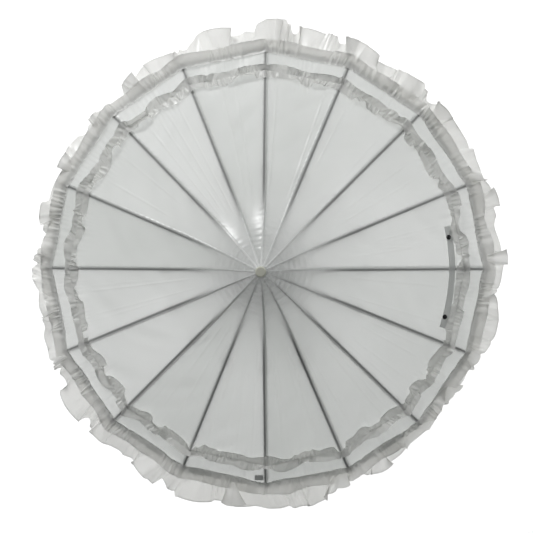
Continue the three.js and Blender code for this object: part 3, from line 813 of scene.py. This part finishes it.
# %% [markdown]
# ## Polyester satin
# Satin floats its long warp threads over the weft, so it is smooth and glossy along them. It is thin, so
# most of what the eye gets from it in front of a light is what comes through: a mix of a glossy surface
# and a translucent one. The threads are too fine to see, so they are drawn at 0.8 mm. Where the cloth is
# folded, as at seams and hems, the plies attribute cuts what comes through.

# %% Satin
def satin(name, light, shade, through, sheer):
    """through is the share of translucent cloth, and sheer the share that is seen straight through."""
    m = new_material(name)
    place_of = add(m, "ShaderNodeTexCoord")
    threads = add(m, "ShaderNodeUVMap", {"uv_map": "threads"})
    plies = add(m, "ShaderNodeAttribute", {"attribute_name": "plies"})
    cut = add(m, "ShaderNodeAttribute", {"attribute_name": "tone"})
    clouds = add(m, "ShaderNodeTexNoise", Vector=place_of.outputs["Object"], Scale=repeats(220), Detail=3.0)
    spread = add(m, "ShaderNodeMapRange", Value=clouds.outputs["Fac"], From_Min=0.3, From_Max=0.7)
    blend = add(m, "ShaderNodeMix", Factor=0.5)
    m.node_tree.links.new(spread.outputs["Result"], blend.inputs[2])
    m.node_tree.links.new(cut.outputs["Fac"], blend.inputs[3])
    tone = two_tones(m, blend.outputs[0], colour(shade), colour(light))
    warp = add(m, "ShaderNodeTexWave", {"wave_type": "BANDS", "bands_direction": "X"},
               Vector=threads.outputs["UV"], Scale=repeats(0.8) / (2 * math.pi), Distortion=0.6, Detail=1.0)
    slubs = add(m, "ShaderNodeTexNoise", Vector=threads.outputs["UV"], Scale=repeats(5), Detail=4.0)
    thread_bump = add(m, "ShaderNodeBump", Strength=0.10, Distance=0.05 * MM, Height=warp.outputs["Fac"])
    cloth_bump = add(m, "ShaderNodeBump", Strength=0.25, Distance=0.3 * MM, Height=slubs.outputs["Fac"],
                     Normal=thread_bump.outputs["Normal"])
    gloss = add(m, "ShaderNodeMapRange", Value=slubs.outputs["Fac"], To_Min=0.24, To_Max=0.36)
    surface = add(m, "ShaderNodeBsdfPrincipled", Base_Color=tone, Roughness=gloss.outputs["Result"],
                  Normal=cloth_bump.outputs["Normal"], Sheen_Weight=0.2, Sheen_Roughness=0.35,
                  Specular_IOR_Level=1.0)
    glow = add(m, "ShaderNodeBsdfTranslucent", Color=tone, Normal=cloth_bump.outputs["Normal"])
    share = add(m, "ShaderNodeMapRange", Value=plies.outputs["Fac"], From_Min=1.0, From_Max=4.0,
                To_Min=through, To_Max=through * 0.2)
    cloth = add(m, "ShaderNodeMixShader", _0=share.outputs["Result"], _1=surface.outputs["BSDF"],
                _2=glow.outputs["BSDF"])
    gaps = add(m, "ShaderNodeMapRange", Value=plies.outputs["Fac"], From_Min=1.0, From_Max=2.0,
               To_Min=sheer, To_Max=0.0)
    straight = add(m, "ShaderNodeBsdfTransparent")
    mix = add(m, "ShaderNodeMixShader", _0=gaps.outputs["Result"], _1=cloth.outputs["Shader"],
              _2=straight.outputs["BSDF"])
    return finish_material(m, mix.outputs["Shader"])


cover_satin = satin("polyester satin, woven", "#f0f1f0", "#e2e4e2", 0.58, 0.21)
# The frills are cut from the cover's satin. Their whiter colour is painted light, standing in for the extra
# light that the gathered frills catch from above.
frill_satin_painted_lighter = satin("polyester satin, gathered, painted lighter", "#f8f8f7", "#f2f2f0", 0.66, 0.10)


# %% [markdown]
# ## Metals and plastics
# The ribs are pressed from strip and dipped in black lacquer. The real lacquer pools in the channel and
# wears off the edges; here it is an even black with a faint uneven tint. The shaft and the collar are
# nickel plated and polished along their length. Notch, runner, handle and cap are moulded, with a faint
# grain left by the mould.

# %% Metals and plastics
def metal(name, code, roughness, grain_mm, stretch, metallic=1.0, coat=0.0):
    """Plated or lacquered steel with fine marks drawn out along one axis."""
    m = new_material(name)
    place_of = add(m, "ShaderNodeTexCoord")
    pull = add(m, "ShaderNodeMapping", Vector=place_of.outputs["Object"], Scale=stretch)
    marks = add(m, "ShaderNodeTexNoise", Vector=pull.outputs["Vector"], Scale=repeats(grain_mm), Detail=4.0)
    clouds = add(m, "ShaderNodeTexNoise", Vector=place_of.outputs["Object"], Scale=repeats(30), Detail=2.0)
    rough = add(m, "ShaderNodeMapRange", Value=marks.outputs["Fac"])
    rough.inputs["To Min"].default_value = roughness * 0.75
    rough.inputs["To Max"].default_value = roughness * 1.3
    tint = two_tones(m, clouds.outputs["Fac"], darker(colour(code), 0.82), colour(code))
    bump = add(m, "ShaderNodeBump", Strength=0.15, Distance=0.05 * MM, Height=marks.outputs["Fac"])
    surface = add(m, "ShaderNodeBsdfPrincipled", Base_Color=tint, Roughness=rough.outputs["Result"],
                  Metallic=metallic, Normal=bump.outputs["Normal"])
    surface.inputs["Coat Weight"].default_value = coat
    return finish_material(m, surface.outputs["BSDF"])


def plastic(name, code, roughness, grain_mm=0.6, depth_mm=0.02):
    """Moulded plastic with the mould's fine grain and a slightly uneven tint."""
    m = new_material(name)
    place_of = add(m, "ShaderNodeTexCoord").outputs["Object"]
    grain = add(m, "ShaderNodeTexNoise", Vector=place_of, Scale=repeats(grain_mm), Detail=3.0)
    clouds = add(m, "ShaderNodeTexNoise", Vector=place_of, Scale=repeats(18), Detail=2.0)
    tint = two_tones(m, clouds.outputs["Fac"], darker(colour(code), 0.9), colour(code))
    rough = add(m, "ShaderNodeMapRange", Value=grain.outputs["Fac"])
    rough.inputs["To Min"].default_value = roughness * 0.8
    rough.inputs["To Max"].default_value = roughness * 1.25
    bump = add(m, "ShaderNodeBump", Strength=0.2, Distance=depth_mm * MM, Height=grain.outputs["Fac"])
    surface = add(m, "ShaderNodeBsdfPrincipled", Base_Color=tint, Roughness=rough.outputs["Result"],
                  Normal=bump.outputs["Normal"])
    return finish_material(m, surface.outputs["BSDF"])


lacquered_steel = metal(
    "steel strip, black lacquer", "#232426", 0.38, 1.2, (1, 1, 0.2), metallic=0.7, coat=0.3)
nickel_plate = metal("steel tube, nickel plated", "#c9ccce", 0.2, 0.8, (1, 1, 0.03))
spring_steel = metal("spring steel, blued", "#6e7378", 0.3, 0.8, (1, 1, 0.1))
wire_steel = metal("steel wire, drawn", "#b4b6b8", 0.3, 0.5, (1, 1, 1))
black_enamel = metal("brass cap, black enamel", "#1a1a1c", 0.3, 1.0, (1, 1, 1), metallic=0.2, coat=0.6)
white_nylon = plastic("nylon, moulded", "#e4e4dd", 0.45)
ivory_abs = plastic("ABS, moulded and polished", "#ebe8dc", 0.22, 1.5, 0.01)
cream_cap = plastic("acetal, moulded cream", "#e6e7d8", 0.35)

# %% Give each CAD node and piece its finish
def dress(piece, material):
    piece.data.materials.clear()
    piece.data.materials.append(material)


NODE_FINISH = {
    "shaft": nickel_plate, "ferrule": nickel_plate, "ferrule_cap": cream_cap, "top_notch": white_nylon,
    "runner": white_nylon, "handle": ivory_abs, "handle_collar": nickel_plate, "top_catch": spring_steel,
    "bottom_catch": spring_steel, "snap_stud": black_enamel, "snap_socket": black_enamel,
}
for k in range(RIBS):
    NODE_FINISH[rib_name(k)] = lacquered_steel
    NODE_FINISH[f"stretcher_{k + 1:02d}"] = lacquered_steel
for node, material in NODE_FINISH.items():
    for slot in frame["nodes"][node].material_slots:
        slot.material = material
for piece in [peak, *shoulders, *panels, washer, strap, hem_loop]:
    dress(piece, cover_satin)
for piece in [*long_frills, *short_frills, *upper_frills]:
    dress(piece, frill_satin_painted_lighter)
for piece in tips:
    dress(piece, white_nylon)
for piece in studs:
    dress(piece, black_enamel)
for piece in [*rivets, notch_wire, runner_wire]:
    dress(piece, wire_steel)

# %% [markdown]
# # How it moves
# The cover's peak stays on the shaft, and the shoulders stay where they are made, on no body. The panels
# and frills ride on their rib; as the parasol folds, the real cloth falls into pleats between the ribs.


def ride_folding(piece, k):
    """The piece rides on rib k, with a mesh of its own."""
    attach(piece, rib_name(k))
    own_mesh(piece)


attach(peak, "shaft")
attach(washer, "shaft")
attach(notch_wire, "shaft")
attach(runner_wire, "runner")
for k in range(RIBS):
    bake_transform(shoulders[k])
    for piece in (panels[k], long_frills[k], short_frills[k], upper_frills[k]):
        ride_folding(piece, k)
    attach(tips[k], rib_name(k))
    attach(rivets[k], rib_name(k))
ride_folding(strap, 0)
ride_folding(hem_loop, LOOP_RIB)
for piece, node in zip(studs, STUD_NODES):
    ride_folding(piece, 0)
    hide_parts(node)

# %% Hide the CAD cover panels and strap that the sheets stand for
for k in range(RIBS):
    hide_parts(f"canopy_panel_{k + 1:02d}")
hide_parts("closing_strap")

# %% [markdown]
# # Floor, light and camera
# A plain white floor, lit so that it shines through the satin from below, and clear from its underside so
# that it doesn't hide the parasol there. A small soft light stands to the back left, a wider and weaker
# one to the right, and a little light comes from all round. The camera looks almost straight down, a few
# degrees off the shaft.

# %% Floor
bpy.ops.object.select_all(action="DESELECT")
bpy.ops.mesh.primitive_plane_add(size=14, location=(0, 0, cad_box[0].z - 0.012))
floor = named("floor")
paper = new_material("paper, white")
shine = add(paper, "ShaderNodeBsdfDiffuse", Color=colour("#f4f4f2"))
lit = add(paper, "ShaderNodeEmission", Color=colour("#ffffff"), Strength=0.86)
both = add(paper, "ShaderNodeAddShader", _0=shine.outputs["BSDF"], _1=lit.outputs["Emission"])
facing = add(paper, "ShaderNodeNewGeometry")
clear = add(paper, "ShaderNodeBsdfTransparent")
one_way = add(paper, "ShaderNodeMixShader", _0=facing.outputs["Backfacing"], _1=both.outputs["Shader"],
              _2=clear.outputs["BSDF"])
finish_material(paper, one_way.outputs["Shader"])
dress(floor, paper)

# %% Lights
world = bpy.data.worlds.new("studio")
bpy.context.scene.world = world
world.use_nodes = True
world.node_tree.nodes["Background"].inputs["Color"].default_value = colour("#f2f5f7")
world.node_tree.nodes["Background"].inputs["Strength"].default_value = 0.09


def softbox(name, at, aim, size, power):
    light = bpy.data.lights.new(name, "AREA")
    light.shape = "DISK"
    light.size = size
    light.energy = power
    lamp = bpy.data.objects.new(name, light)
    lamp.location = at
    lamp.rotation_euler = (Vector(aim) - Vector(at)).to_track_quat("-Z", "Y").to_euler()
    lamp.visible_camera = False
    bpy.context.scene.collection.objects.link(lamp)


softbox("key", (-0.95, 2.1, 1.85), (0, 0, notch.z), 0.5, 37)
softbox("fill", (2.3, 0.1, 1.9), (0, 0, notch.z), 1.5, 8)
bpy.context.scene.view_settings.view_transform = "Standard"

# %% Camera
HEM_Z = float(cloth_height(HEM_R))
CAMERA_FROM_HEM = 2.3
TILT = Vector((0.048, 0.032, 1)).normalized()
VIEW_WIDTH = 1.05
AIM = Vector((0.002, 0.004, HEM_Z))
camera = bpy.data.cameras.new("camera")
camera.sensor_width = 36
camera.lens = camera.sensor_width * CAMERA_FROM_HEM / VIEW_WIDTH
camera_piece = bpy.data.objects.new("camera", camera)
bpy.context.scene.collection.objects.link(camera_piece)
right = Vector((0, 1, 0)).cross(TILT).normalized()
over = TILT.cross(right)
facing_down = Matrix((right, over, TILT)).transposed().to_4x4()
camera_piece.matrix_world = Matrix.Translation(AIM + TILT * CAMERA_FROM_HEM) @ facing_down
bpy.context.scene.camera = camera_piece
